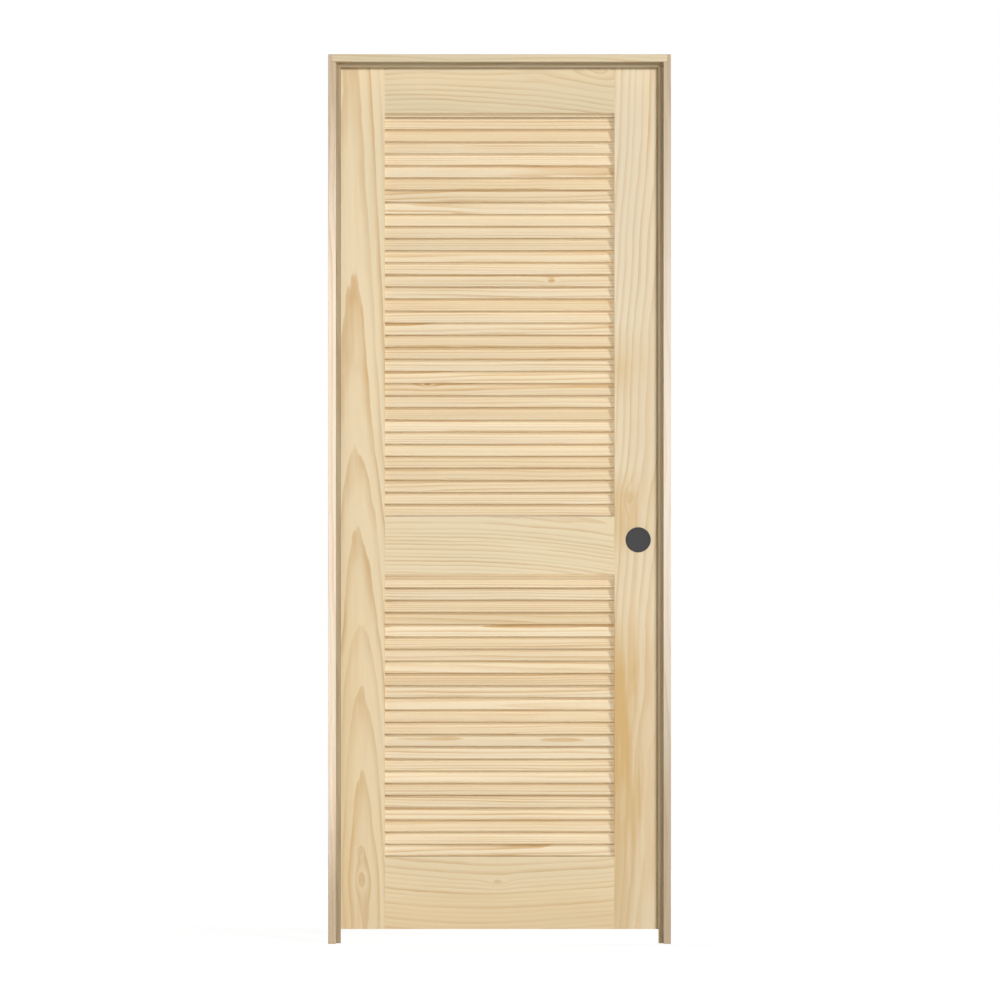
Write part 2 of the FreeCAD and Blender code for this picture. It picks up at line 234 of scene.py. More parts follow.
@dataclass
class Cut:
    """Where in its log a board was sawn, in millimetres, and how strongly its figure shows.

    The apexes are the heights of the figure's points, and a knot is a place along and across and a radius.
    The sheen span is where the painted shade at a jamb's foot starts to clear and is gone, and where that at
    its top starts and is full; the paler middle between them is a painted sheen of the front lamp, tinted by
    the sheen tint.
    """

    seed: float
    heart_across: float = 0.0
    heart_depth: float = 90.0
    slope: float = 0.05
    sway: float = 20.0
    rise: float = 14.0
    lean: float = 0.0
    arch: float = 0.0
    arch_from: float = 0.0
    spacing: float = 9.0
    wobble: float = 4.0
    waver: float = 3.0
    contrast: float = 1.0
    tone: float = 1.0
    amber: tuple = ()
    apexes: tuple = ()
    knots: tuple = ()
    knot_core: float = 0.8
    sap: bool = False
    jamb: bool = False
    sheen_span: tuple = ()
    sheen_tint: tuple = (1, 1, 1)


# The stiles stand with their grain upright, the rails and the head lie with it level.
UPRIGHT, LEVEL, JAMB, HEAD = "ZXY", "XZY", "ZYX", "XYZ"
# How strongly resin stains a board, from the floor to STAIN_SPAN millimetres up, or all along a rail.
STAIN_SPAN = 2100
HINGE_STILE_STAIN = ((0, 0.35), (0.3, 0.3), (0.5, 0))
BOTTOM_RAIL_STAIN = ((0, 0.3), (1, 0.3))
LOCK_STILE_STAIN = (
    (0, 0.5), (0.1, 0.65), (0.17, 1.0), (0.3, 1.0), (0.37, 0.25), (0.43, 0.2),
    (0.46, 0.6), (0.5, 0.6), (0.53, 0.1), (0.6, 0.15), (0.64, 0.5), (0.69, 0),
)
# The share of it that lies all over the board. The rest is in patches that thin out past a middle line.
STAIN_WASH = 0.25
STAIN_PATCH, STAIN_PATCH_EDGE = 3.2, (-0.7, 0.9)
STAIN_MIDDLE, STAIN_SPREAD = -4, 48
BOARDS = {
    "hinge_stile": (UPRIGHT, Cut(
        3.0, heart_across=11, heart_depth=63, lean=0.0197, sway=12, contrast=1.25, waver=2.2, tone=0.95,
        apexes=(140, 400, 608, 744, 977, 1148, 1568, 2120), amber=HINGE_STILE_STAIN,
        knots=((148, 4, 8), (212, 4, 4)), knot_core=0.35,
    )),
    "lock_stile": (UPRIGHT, Cut(
        17.0, heart_across=20, heart_depth=46, slope=0.02, lean=-0.05, spacing=14, sap=True, contrast=1.1,
        waver=4, tone=0.935, amber=LOCK_STILE_STAIN, knots=((1042, -75, 10),), knot_core=0.15,
    )),
    "top_rail": (LEVEL, Cut(
        29.0, heart_across=70, heart_depth=36, slope=0.03, arch=44, arch_from=-300, spacing=11,
        waver=4, tone=0.885, knots=((230, 90, 14),), knot_core=0.15,
    )),
    "lock_rail": (LEVEL, Cut(
        41.0, heart_across=90, heart_depth=30, slope=0.02, arch=40, arch_from=-270, spacing=9,
        waver=4, contrast=1.3, tone=0.97,
    )),
    "bottom_rail": (LEVEL, Cut(
        53.0, heart_across=100, heart_depth=40, slope=-0.02, arch=-60, spacing=11, waver=4, tone=0.97,
        knots=((-5, 24, 8),), knot_core=0.1, amber=BOTTOM_RAIL_STAIN,
    )),
    # The jambs carry painted shade towards their foot and top, and a paler middle that is a painted sheen of
    # the front lamp.
    "hinge_jamb": (JAMB, Cut(
        67.0, heart_across=-90, heart_depth=40, slope=0.01, tone=1.06, jamb=True,
        sheen_span=(40, 400, 1450, 2120),
    )),
    "strike_jamb": (JAMB, Cut(
        71.0, heart_across=80, heart_depth=60, slope=0.02, tone=0.95, jamb=True,
        sheen_span=(150, 1000, 1100, 2200), sheen_tint=(1, 1.03, 1.09),
    )),
    "head_jamb": (HEAD, Cut(83.0, heart_across=-70, heart_depth=60, slope=0.02, tone=0.88)),
    # The hinge stop and the head stop are toned darker than their pine: painted shade, for the recess beside
    # the jambs. The strike stop keeps nearly its plain tone.
    "hinge_stop": (UPRIGHT, Cut(97.0, heart_across=-40, heart_depth=60, slope=0.02, tone=0.6)),
    "strike_stop": (UPRIGHT, Cut(101.0, heart_across=50, heart_depth=60, slope=0.02, tone=0.96)),
    "head_stop": (LEVEL, Cut(113.0, heart_across=40, heart_depth=60, slope=0.02, tone=0.7)),
}
# How strong the late wood is through one ring, from its early edge to its late one.
RING_STOPS = ((0.0, 0.0), (0.45, 0.1), (0.76, 0.7), (0.9, 1.0), (0.965, 0.85), (1.0, 0.0))
# How far the wood's unevenness reaches along the grain, across it and through the board, in millimetres.
SWAY_REACH, RISE_REACH, ARCH_REACH = 520, 330, 540
WOBBLE_REACH, WAVER_REACH = (240, 40, 40), (70, 14, 14)
FADE_REACH, STREAK_REACH, SHADE_REACH = (260, 22, 22), (420, 9, 9), (600, 80, 80)
# The reach of the resin stains, and that of the ragged edge of the painted shade at the jambs' ends.
STAIN_REACH, PAINTED_SHADE_REACH = (210, 17, 30), (160, 60, 60)
FIBRE_LENGTH, FIBRE_WIDTH = 60, 1.3
# How unevenly wide the rings are, and how fast that changes from ring to ring.
RING_DRIFT, RING_RHYTHM = 1.1, 0.37
FAINTEST_RING, FADE_MIDDLE, FADE_SWING = 0.35, 0.9, 1.5
LATE_SHARE, FIBRE_SHARE, STREAK_SHARE, SHADE_SWING = 0.8, 0.25, 0.35, 0.12
# A knot is longer along the grain than across it, bends the rings round itself and has a soft edge.
KNOT_STRETCH, KNOT_BEND, KNOT_EDGE = 2.2, 2.5, (0.5, 1.2)
# How far the edge of the painted shade at the jambs' ends wanders up or down, in millimetres.
PAINTED_SHADE_PATCH = 300
END_GRAIN_SHADE, END_GRAIN_EDGE = 0.22, (0.6, 0.95)
# How much amber the warmest slat has.
WARM_SHARE = 0.35


def heart_before(sheet, along, cut):
    """How far the heart of the log lies before the face; the figure comes to a point at each apex."""
    if not cut.apexes:
        climb = cut.rise * sheet.drift(along / RISE_REACH + (cut.seed + 7))
        return cut.heart_depth + cut.slope * along + climb
    low, high = cut.apexes[0], cut.apexes[-1]
    rings = len(cut.apexes) - 1
    stops = [((height - low) / (high - low), ring / rings) for ring, height in enumerate(cut.apexes)]
    return cut.heart_depth + cut.spacing * rings * sheet.ramp((along - low) / (high - low), stops)


def pull_in(sheet, along, across, knot_along, knot_across, knot_radius):
    """How far the rings bend round a knot, and the knot's own dark core."""
    before = (along - knot_along) / KNOT_STRETCH
    reach = sheet.maths("SQRT", before ** 2 + (across - knot_across) ** 2) / knot_radius
    return KNOT_BEND * knot_radius / (1 + reach ** 2), 1 - sheet.rise(reach, *KNOT_EDGE)


def pine_figure(sheet, along, across, depth, cut, look):
    """Growth rings round a wandering heart, cut by the board: the colour, and the height of its grain."""
    face = across
    if cut.lean or cut.arch:
        across = across + cut.lean * along + cut.arch * ((along - cut.arch_from) / ARCH_REACH) ** 2
    place = (along, across, depth)
    heart_across = cut.heart_across + cut.sway * sheet.drift(along / SWAY_REACH + cut.seed)
    heart_depth = heart_before(sheet, along, cut)
    wobble = cut.wobble * sheet.uneven(place, WOBBLE_REACH, cut.seed)
    wobble = wobble + cut.waver * sheet.uneven(place, WAVER_REACH, cut.seed, detail=2)
    radius = sheet.maths("SQRT", (across - heart_across) ** 2 + (depth + heart_depth) ** 2) + wobble
    cores = []
    for knot in cut.knots:
        bend, core = pull_in(sheet, along, across, *knot)
        radius = radius - bend
        cores.append(core)
    ring = radius / cut.spacing
    if not cut.apexes:
        ring = ring + RING_DRIFT * sheet.drift(ring * RING_RHYTHM + cut.seed)
    year = sheet.chance(sheet.maths("FLOOR", ring) + cut.seed)
    fade = FADE_MIDDLE + FADE_SWING * sheet.uneven(place, FADE_REACH, cut.seed + 3)
    strength = FAINTEST_RING + (1 - FAINTEST_RING) * year
    late = sheet.ramp(sheet.maths("FRACT", ring), RING_STOPS) * strength * fade
    fibre = sheet.cloud(along / FIBRE_LENGTH, across / FIBRE_WIDTH + cut.seed, depth / FIBRE_WIDTH, detail=2)
    streak = sheet.uneven(place, STREAK_REACH, cut.seed, detail=2)
    shade = sheet.uneven(place, SHADE_REACH, cut.seed)
    early, dark = look.sap if cut.sap else look.early, look.late
    if cut.jamb:
        early, dark = look.jamb_early, look.jamb_late
    lines = late * (cut.contrast * LATE_SHARE) + fibre * FIBRE_SHARE + streak * STREAK_SHARE
    colour = sheet.blend(lines, early[:] + (1,), dark[:] + (1,))
    if cut.amber:
        patch = STAIN_PATCH * sheet.uneven((along, face, depth), STAIN_REACH, cut.seed, detail=3)
        side = patch - (face - STAIN_MIDDLE) / STAIN_SPREAD
        patches = STAIN_WASH + (1 - STAIN_WASH) * sheet.rise(side, *STAIN_PATCH_EDGE)
        stain = sheet.ramp(along / STAIN_SPAN, cut.amber) * patches
        colour = sheet.blend(stain, colour, look.amber[:] + (1,))
    for core in cores:
        colour = sheet.blend(core * cut.knot_core, colour, look.knot[:] + (1,))
    return sheet.scaled(colour, cut.tone * (1 + SHADE_SWING * shade)), late, fibre


def finish_pine(finish, colour, late, fibre):
    """Bare sanded pine: late wood a little smoother and prouder than the early wood."""
    finish.feed("Base Color", colour)
    finish.feed("Roughness", 0.62 - 0.08 * late + 0.1 * fibre)
    finish.bump(late * 0.4 + fibre, depth=0.08 * MM, strength=0.5)


def pine_board(node, look):
    """A board's own finish, cut from its own log, set out from the middle of its front face."""
    order, cut = BOARDS[node]
    finish = Finish("pine_" + node, Specular_IOR_Level=0.3)
    place = dict(zip("XYZ", finish.place()))
    low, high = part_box(node)
    middle = (low + high) / 2 / MM
    along = place[order[0]]
    across = place[order[1]] - middle["XYZ".index(order[1])]
    depth = place[order[2]] - low["XYZ".index(order[2])] / MM
    colour, late, fibre = pine_figure(finish, along, across, depth, cut, look)
    # Painted light on the jambs: painted shade towards the foot and top, and a paler, tinted middle as a
    # painted sheen of the front lamp.
    if cut.sheen_span:
        foot, middle_low, middle_high, top = cut.sheen_span
        patch = PAINTED_SHADE_PATCH * finish.uneven((along, across, depth), PAINTED_SHADE_REACH, cut.seed, detail=2)
        height = along + patch
        sheen = finish.rise(height, foot, middle_low) * (1 - finish.rise(height, middle_high, top))
        painted_shade = finish.blend(sheen, look.painted_shade[:] + (1,), cut.sheen_tint + (1,))
        colour = finish.vector_maths("MULTIPLY", colour, painted_shade)
    end_grain = finish.maths("ABSOLUTE", finish.facing()["XYZ".index(order[0])])
    colour = finish.scaled(colour, 1 - END_GRAIN_SHADE * finish.rise(end_grain, *END_GRAIN_EDGE))
    finish_pine(finish, colour, late, fibre)
    return finish.material


def pine_slats(name, look):
    """The slats' finish, each cut from the place in the log that its mesh carries."""
    finish = Finish(name, Specular_IOR_Level=0.3)
    along, across, depth = finish.attribute("grain")
    log_along, heart_across, heart_depth = finish.attribute("log")
    skew, slope, tone = finish.attribute("lean")
    knot_along, knot_across, knot_radius = finish.attribute("knot")
    cut = Cut(
        heart_across, heart_across=heart_across, heart_depth=heart_depth, slope=slope, sap=True,
        spacing=4.4, wobble=2.5, waver=0.7, sway=5.0, rise=3.0, contrast=1.4, tone=0.98 + 0.13 * tone,
        knots=((log_along + knot_along, knot_across, knot_radius),),
    )
    colour, late, fibre = pine_figure(finish, along + log_along, across + skew * along, depth, cut, look)
    warm = finish.chance(log_along)
    colour = finish.blend(WARM_SHARE * warm ** 2, colour, look.amber[:] + (1,))
    finish_pine(finish, colour, late, fibre)
    return finish.material


# Reach of the brush lines and smudges on metal, of pebble and scuffs on plastic, and of fibres and flecks in
# hardwood, in millimetres, and between which strengths a scuff or fleck fades in.
BRUSH_LENGTH, BRUSH_WIDTH, SMUDGE_REACH = 30, 0.35, 14
PEBBLE_REACH, SCUFF_WIDTH, SCUFF_LENGTH, SCUFF_EDGE = 0.45, 2.2, 16, (0.14, 0.3)
HARDWOOD_LENGTH, HARDWOOD_WIDTH, FLECK_LENGTH, FLECK_WIDTH, FLECK_EDGE = 40, 0.9, 3, 0.5, (0.18, 0.3)


def satin_metal(name, colour, roughness, brushed):
    """Metal with fine brush lines along one axis, and smudges that dull it."""
    finish = Finish(name, Metallic=1.0)
    place = finish.place()
    reach = [BRUSH_LENGTH if axis == brushed else BRUSH_WIDTH for axis in "XYZ"]
    lines = finish.cloud(*(at / far for at, far in zip(place, reach)), detail=2)
    smudge = finish.cloud(*(at / SMUDGE_REACH for at in place), detail=3)
    finish.feed("Base Color", finish.scaled(colour[:], 1 + 0.14 * lines - 0.16 * smudge))
    finish.feed("Roughness", roughness + 0.16 * lines + 0.14 * smudge)
    finish.bump(lines, depth=0.02 * MM, strength=0.4)
    return finish.material


def moulded_plastic(name, colour):
    """Matte plastic with the fine pebble of its mould and a few pale scuffs."""
    finish = Finish(name, Specular_IOR_Level=0.35)
    x, y, z = finish.place()
    pebble = finish.cloud(x / PEBBLE_REACH, y / PEBBLE_REACH, z / PEBBLE_REACH)
    scuff = finish.cloud(x / SCUFF_WIDTH, y / SCUFF_WIDTH, z / SCUFF_LENGTH, detail=3)
    scuff = finish.rise(scuff, *SCUFF_EDGE)
    finish.feed("Base Color", finish.scaled(colour[:], 1 + 0.25 * pebble + 0.35 * scuff))
    finish.feed("Roughness", 0.52 + 0.12 * pebble - 0.1 * scuff)
    finish.bump(pebble, depth=0.06 * MM, strength=0.5)
    return finish.material


def dowel_wood(name, colour):
    """Close-grained hardwood, turned along X, with short dark flecks."""
    finish = Finish(name, Specular_IOR_Level=0.3)
    x, y, z = finish.place()
    fibre = finish.cloud(x / HARDWOOD_LENGTH, y / HARDWOOD_WIDTH, z / HARDWOOD_WIDTH, detail=2)
    fleck = finish.rise(finish.cloud(x / FLECK_LENGTH, y / FLECK_WIDTH, z / FLECK_WIDTH), *FLECK_EDGE)
    finish.feed("Base Color", finish.scaled(colour[:], 1 + 0.2 * fibre - 0.3 * fleck))
    finish.feed("Roughness", 0.6 + 0.1 * fibre)
    finish.bump(fibre, depth=0.05 * MM, strength=0.5)
    return finish.material


def dress(node, material):
    """Gives a CAD node its finish."""
    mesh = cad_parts[node].data
    mesh.materials.clear()
    mesh.materials.append(material)


def new_piece(name, mesh, body, slot, *nodes):
    """A finished mesh as a piece that rides on a body and stands for CAD nodes."""
    piece = bpy.data.objects.new(name, mesh)
    bpy.context.scene.collection.objects.link(piece)
    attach(piece, body)
    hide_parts(*nodes)


def mesh_from(work, name):
    """Turns a working bmesh into a mesh."""
    mesh = bpy.data.meshes.new(name)
    work.to_mesh(mesh)
    work.free()
    return mesh


class Layout(Sheet):
    """A geometry rule with named inputs, ending in plain geometry with its material set."""

    def __init__(self, name, sizes):
        super().__init__(bpy.data.node_groups.new(name, "GeometryNodeTree"))
        self.sizes = {}
        for label, (kind, value) in {"Piece": ("NodeSocketGeometry", None), **sizes}.items():
            socket = self.tree.interface.new_socket(label, in_out="INPUT", socket_type=kind)
            self.sizes[socket.identifier] = value
        self.tree.interface.new_socket("Result", in_out="OUTPUT", socket_type="NodeSocketGeometry")
        given = self.tree.nodes.new("NodeGroupInput")
        self.given = {out.name: Value(self, out) for out in given.outputs if out.name}

    def random(self, low, high, salt):
        """A random number, or vector for a pair of vectors, for each point."""
        kind, first, out = ("FLOAT_VECTOR", 0, 0) if isinstance(low, tuple) else ("FLOAT", 2, 1)
        sockets = {first: low, first + 1: high, "Seed": self.given["Seed"] + salt}
        return self.node("FunctionNodeRandomValue", {"data_type": kind}, sockets, output=out)

    def store(self, geometry, name, kind, domain, value):
        sockets = {"Geometry": geometry, "Name": name, "Value": value}
        return self.node("GeometryNodeStoreNamedAttribute", {"data_type": kind, "domain": domain}, sockets)

    def close(self, geometry):
        sockets = {"Geometry": geometry, "Material": self.given["Finish"]}
        dressed = self.node("GeometryNodeSetMaterial", None, sockets)
        end = self.tree.nodes.new("NodeGroupOutput")
        self.tree.links.new(dressed.socket, end.inputs["Result"])

    def run(self, mesh):
        """Lays the piece out and gives back one plain mesh."""
        holder = bpy.data.objects.new(mesh.name + "_holder", mesh)
        bpy.context.scene.collection.objects.link(holder)
        modifier = holder.modifiers.new("Layout", "NODES")
        modifier.node_group = self.tree
        for identifier, value in self.sizes.items():
            if value is not None:
                modifier[identifier] = value
        graph = bpy.context.evaluated_depsgraph_get()
        laid = holder.evaluated_get(graph)
        result = bpy.data.meshes.new_from_object(laid, preserve_all_data_layers=True, depsgraph=graph)
        bpy.data.objects.remove(holder)
        return result


def skin(work, rings):
    """Joins rings of points, one after another, with smooth faces."""
    for near, far in zip(rings, rings[1:]):
        for index in range(len(near)):
            after = (index + 1) % len(near)
            work.faces.new((near[index], near[after], far[after], far[index])).smooth = True


def ring_about_x(work, x, radii):
    """A ring of points square to X, each at its own distance from the axis."""
    turns = [2 * math.pi * step / len(radii) for step in range(len(radii))]
    return [work.verts.new((x, r * math.cos(t), r * math.sin(t))) for r, t in zip(radii, turns)]


def slat_blank(sizes):
    """One slat about its own middle: along X, its width along Y, with rounded long edges."""
    radius = sizes.thickness / 2
    reach = sizes.width / 2 - radius
    flat = reach - radius / 6
    outline = []
    for side in (1, -1):
        for step in range(sizes.edge_facets + 1):
            turn = math.pi * (step / sizes.edge_facets - 0.5)
            outline.append((side * (reach + radius * math.cos(turn)), side * radius * math.sin(turn)))
        outline.append((side * flat, side * radius))
        outline.append((side * -flat, side * radius))
    work = bmesh.new()
    rings = []
    for step in range(sizes.length_facets + 1):
        x = sizes.length * (step / sizes.length_facets - 0.5)
        rings.append([work.verts.new((x, y, z)) for y, z in outline])
    skin(work, rings)
    for ring in (rings[0], rings[-1]):
        work.faces.new(ring)
        for first, second in zip(ring, ring[1:] + ring[:1]):
            work.edges.get((first, second)).smooth = False
    bmesh.ops.recalc_face_normals(work, faces=work.faces)
    return mesh_from(work, "slat_blank")


# The least and most that a slat draws: its place in the log, its skew, slope and tone, and a knot's place and
# size, which for most slats is below nothing.
LOG_RANGE = ((0, -60, 14), (9000, 60, 70))
LEAN_RANGE = ((-0.008, -0.008, 0), (0.008, 0.008, 1))
KNOT_RANGE = ((-280, -14, -45), (280, 14, 6))
NO_KNOT = 0.01


def louvre_layout(name, count, pitch, middle, sizes, seed, material):
    """Slats one above another, each tilted alike, cut from its own place in the log and a little bowed."""
    rule = Layout(name, {
        "Count": ("NodeSocketInt", count),
        "Pitch": ("NodeSocketFloat", pitch),
        "First middle": ("NodeSocketVector", middle),
        "Tilt": ("NodeSocketFloat", sizes.tilt),
        "Length": ("NodeSocketFloat", sizes.length),
        "Bow": ("NodeSocketFloat", sizes.bow),
        "Seed": ("NodeSocketInt", seed),
        "Finish": ("NodeSocketMaterial", material),
    })
    given = rule.given
    index = rule.node("GeometryNodeInputIndex")
    place = rule.vector_maths("ADD", given["First middle"], rule.joined(0, 0, index * given["Pitch"]))
    points = rule.node("GeometryNodePoints", None, {"Count": given["Count"], "Position": place})
    at = rule.node("GeometryNodeInputPosition")
    marked = rule.store(given["Piece"], "grain", "FLOAT_VECTOR", "POINT", rule.scaled(at, 1 / MM))
    tilt = rule.joined(given["Tilt"], 0, 0)
    sockets = {"Points": points, "Instance": marked, "Rotation": tilt}
    slats = rule.node("GeometryNodeInstanceOnPoints", None, sockets)
    log = rule.random(*LOG_RANGE, 1)
    lean = rule.random(*LEAN_RANGE, 2)
    along, across, size = rule.parts(rule.random(*KNOT_RANGE, 4))
    knot = rule.joined(along, across, rule.maths("MAXIMUM", size, NO_KNOT))
    slats = rule.store(slats, "log", "FLOAT_VECTOR", "INSTANCE", log)
    slats = rule.store(slats, "lean", "FLOAT_VECTOR", "INSTANCE", lean)
    slats = rule.store(slats, "knot", "FLOAT_VECTOR", "INSTANCE", knot)
    slats = rule.store(slats, "bow", "FLOAT", "INSTANCE", rule.random(-1.0, 1.0, 3))
    whole = rule.node("GeometryNodeRealizeInstances", None, {"Geometry": slats})
    bow = rule.node("GeometryNodeInputNamedAttribute", {"data_type": "FLOAT"}, {"Name": "bow"})
    x, _, _ = rule.parts(rule.node("GeometryNodeInputPosition"))
    lift = bow * given["Bow"] * rule.maths("COSINE", math.pi * x / given["Length"])
    bent = rule.node("GeometryNodeSetPosition", None, {"Geometry": whole, "Offset": rule.joined(0, 0, lift)})
    rule.close(bent)
    return rule


def screw_blank(sizes, length):
    """A countersunk screw along X, its cross-recessed head at the origin facing +X, with a tapered thread."""
    facets = sizes.screw_facets
    shank = sizes.shank_radius
    core = shank * sizes.thread_core
    work = bmesh.new()
    rim = ring_about_x(work, 0, [sizes.head_radius] * facets)
    rings = [rim]
    rings.append(ring_about_x(work, -sizes.head_edge, [sizes.head_radius] * facets))
    rings.append(ring_about_x(work, -sizes.head_depth, [shank] * facets))
    step = sizes.thread_pitch / sizes.thread_rows
    neck = sizes.head_depth + sizes.thread_pitch
    rows = math.ceil((length - neck) / step)
    for row in range(rows):
        depth = neck + (length - neck) * row / rows
        taper = min(1, (length - depth) / sizes.tip_length)
        start = min(1, row / sizes.thread_rows)
        radii = []
        for facet in range(facets):
            along = depth / sizes.thread_pitch + facet / facets
            crest = 1 - abs(2 * (along % 1) - 1)
            radii.append(taper * (core + (shank - core) * (1 - start + start * crest)))
        rings.append(ring_about_x(work, -depth, radii))
    skin(work, rings)
    tip = work.verts.new((-length, 0, 0))
    for index, point in enumerate(rings[-1]):
        work.faces.new((point, rings[-1][(index + 1) % facets], tip))
    cut_recess(work, rim, sizes)
    bmesh.ops.recalc_face_normals(work, faces=work.faces)
    mesh = mesh_from(work, "screw_blank")
    mesh.set_sharp_from_angle(angle=math.radians(40))
    return mesh


def cut_recess(work, rim, sizes):
    """Closes a screw's head with a flat top that has a tapered cross sunk in it."""
    corners = []
    arm, half = sizes.recess_length / 2, sizes.recess_width / 2
    for quarter in range(4):
        turn = quarter * math.pi / 2
        for a, b in ((arm, -half), (arm, half), (half, half)):
            corners.append((a * math.cos(turn) - b * math.sin(turn), a * math.sin(turn) + b * math.cos(turn)))
    mouth = [work.verts.new((0, y, z)) for y, z in corners]
    narrow = sizes.recess_taper
    floor = [work.verts.new((-sizes.recess_depth, narrow * y, narrow * z)) for y, z in corners]
    skin(work, [mouth, floor])
    work.faces.new(floor)
    border = []
    for ring in (rim, mouth):
        border += [work.edges.get(pair) for pair in zip(ring, ring[1:] + ring[:1])]
    bmesh.ops.triangle_fill(work, edges=border, use_beauty=True, use_dissolve=False)


def screw_layout(name, place, sizes, material):
    """Three screws to a leaf, the middle one further in, on every hinge; each turned its own way."""
    rule = Layout(name, {
        "Count": ("NodeSocketInt", sizes.hinges * SCREWS_IN_A_LEAF),
        **{label: ("NodeSocketFloat", value) for label, value in place.items()},
        "Seed": ("NodeSocketInt", sizes.seed),
        "Finish": ("NodeSocketMaterial", material),
    })
    given = rule.given
    index = rule.node("GeometryNodeInputIndex")
    hinge = rule.maths("FLOOR", index / SCREWS_IN_A_LEAF)
    side = index - hinge * SCREWS_IN_A_LEAF - 1
    inward = 1 - rule.maths("ABSOLUTE", side)
    height = given["First hinge"] + hinge * given["Hinge spacing"] + side * given["Reach"]
    place = rule.joined(given["Face"], given["Outer row"] - given["Stagger"] * inward, height)
    points = rule.node("GeometryNodePoints", None, {"Count": given["Count"], "Position": place})
    turned = rule.joined(rule.random(0.0, math.tau, 1), 0, given["Turn"])
    sockets = {"Points": points, "Instance": given["Piece"], "Rotation": turned}
    screws = rule.node("GeometryNodeInstanceOnPoints", None, sockets)
    rule.close(rule.node("GeometryNodeRealizeInstances", None, {"Geometry": screws}))
    return rule


# Steps round the cover's front edge and across its groove, the ease of its back edge, and its dish from the
# groove to the middle, as shares of the radius and depths.
COVER_ROUND_STEPS, COVER_GROOVE_STEPS, COVER_EASE = 5, 6, 0.2 * MM
COVER_DISH = ((0.55, 0.1 * MM), (0.25, 0.16 * MM), (0, 0.18 * MM))


def cover_mesh(low, high, sizes):
    """A round stuck-on cover, turned from a profile: rounded rim, a groove inside it and a dished face."""
    radius = (high.x - low.x) / 2
    thick = high.y - low.y
    profile = [(0, 0), (radius * 0.5, 0), (radius - COVER_EASE, 0), (radius, COVER_EASE)]
    profile.append((radius, thick - sizes.cover_round))
    for step in range(1, COVER_ROUND_STEPS + 1):
        turn = step / COVER_ROUND_STEPS * math.pi / 2
        out = radius - sizes.cover_round * (1 - math.cos(turn))
        profile.append((out, thick - sizes.cover_round * (1 - math.sin(turn))))
    groove = radius - sizes.cover_rim
    for step in range(COVER_GROOVE_STEPS + 1):
        turn = step / COVER_GROOVE_STEPS * math.pi
        out = groove + sizes.cover_groove * math.cos(turn)
        profile.append((out, thick - sizes.cover_groove * 0.5 * math.sin(turn)))
    profile += [(radius * share, thick - sunk) for share, sunk in COVER_DISH]
    work = bmesh.new()
    rings = [ring_about_x(work, height, [out] * sizes.cover_facets) for out, height in profile[1:-1]]
    skin(work, rings)
    for ring, height in ((rings[0], 0), (rings[-1], profile[-1][1])):
        pole = work.verts.new((height, 0, 0))
        for index, point in enumerate(ring):
            work.faces.new((point, ring[(index + 1) % len(ring)], pole)).smooth = True
    middle = (low + high) / 2
    for point in work.verts:
        height, across, up = point.co
        point.co = (middle.x + across, high.y - height, middle.z + up)
    bmesh.ops.recalc_face_normals(work, faces=work.faces)
    mesh = mesh_from(work, "bore_cover_face")
    mesh.set_sharp_from_angle(angle=math.radians(50))
    return mesh


def trim_above(mesh, height):
    """Cuts the mesh off level at a height and closes the cut."""
    work = bmesh.new()
    work.from_mesh(mesh)
    everything = work.verts[:] + work.edges[:] + work.faces[:]
    cut = bmesh.ops.bisect_plane(
        work, geom=everything, plane_co=(0, 0, height), plane_no=(0, 0, 1), clear_outer=True
    )
    edges = [item for item in cut["geom_cut"] if isinstance(item, bmesh.types.BMEdge)]
    bmesh.ops.holes_fill(work, edges=edges)
    for edge in edges:
        edge.smooth = False
    work.to_mesh(mesh)
    work.free()


def length_setting(name, description, default):
    return FloatProperty(name=name, description=description, unit="LENGTH", default=default)


def power_setting(name, description, default):
    return FloatProperty(name=name, description=description, unit="POWER", default=default)


def colour_setting(name, description, default):
    return FloatVectorProperty(name=name, description=description, subtype="COLOR", default=default)


def count_setting(name, description, default):
    return IntProperty(name=name, description=description, default=default)


class PineLook(bpy.types.PropertyGroup):
    """Colours of the pine."""

    early: colour_setting("Early wood", "Pale wood between the rings", (0.80, 0.672, 0.448))
    sap: colour_setting("Sapwood", "Palest wood, of the lock stile and the slats", (0.82, 0.705, 0.505))
    late: colour_setting("Late wood", "Darker bands of the rings", (0.63, 0.43, 0.215))
    amber: colour_setting("Amber wood", "Resin-stained wood", (0.665, 0.445, 0.185))
    knot: colour_setting("Knot", "Heart of a small knot", (0.55, 0.31, 0.12))
    jamb_early: colour_setting("Jamb early wood", "Pale wood of the jambs", (0.90, 0.765, 0.595))
    jamb_late: colour_setting("Jamb late wood", "Darker bands of the jambs", (0.76, 0.575, 0.40))
    # Painted shade: the colour that the jambs are multiplied by towards their foot and top.
    painted_shade: colour_setting(
        "Painted shade", "What is left of a colour at the shaded ends of the jambs", (0.61, 0.567, 0.5)
    )


class SlatSizes(bpy.types.PropertyGroup):
    """Sizes of the slats."""

    width: length_setting("Width", "Width of a slat", 0.0365)
    thickness: length_setting("Thickness", "Thickness of a slat", 0.00635)
    length: length_setting(
        "Length", "Length of a slat with its housed ends", upper_first[1].x - upper_first[0].x
    )
    tilt: FloatProperty(
        name="Tilt", description="Lean of a slat, its front edge low", unit="ROTATION",
        default=math.radians(65),
    )
    bow: length_setting("Bow", "Most that a slat bends at mid-length", 0.0007)
    edge_facets: count_setting("Edge facets", "Facets round a long edge", 10)
    length_facets: count_setting("Length facets", "Facets along a slat", 12)
    upper_count: count_setting("Upper slats", "Slats above the lock rail", 34)
    lower_count: count_setting("Lower slats", "Slats below the lock rail", 23)
    upper_seed: count_setting("Upper seed", "Choice of the upper slats' cuts and bows", 4)
    lower_seed: count_setting("Lower seed", "Choice of the lower slats' cuts and bows", 40)


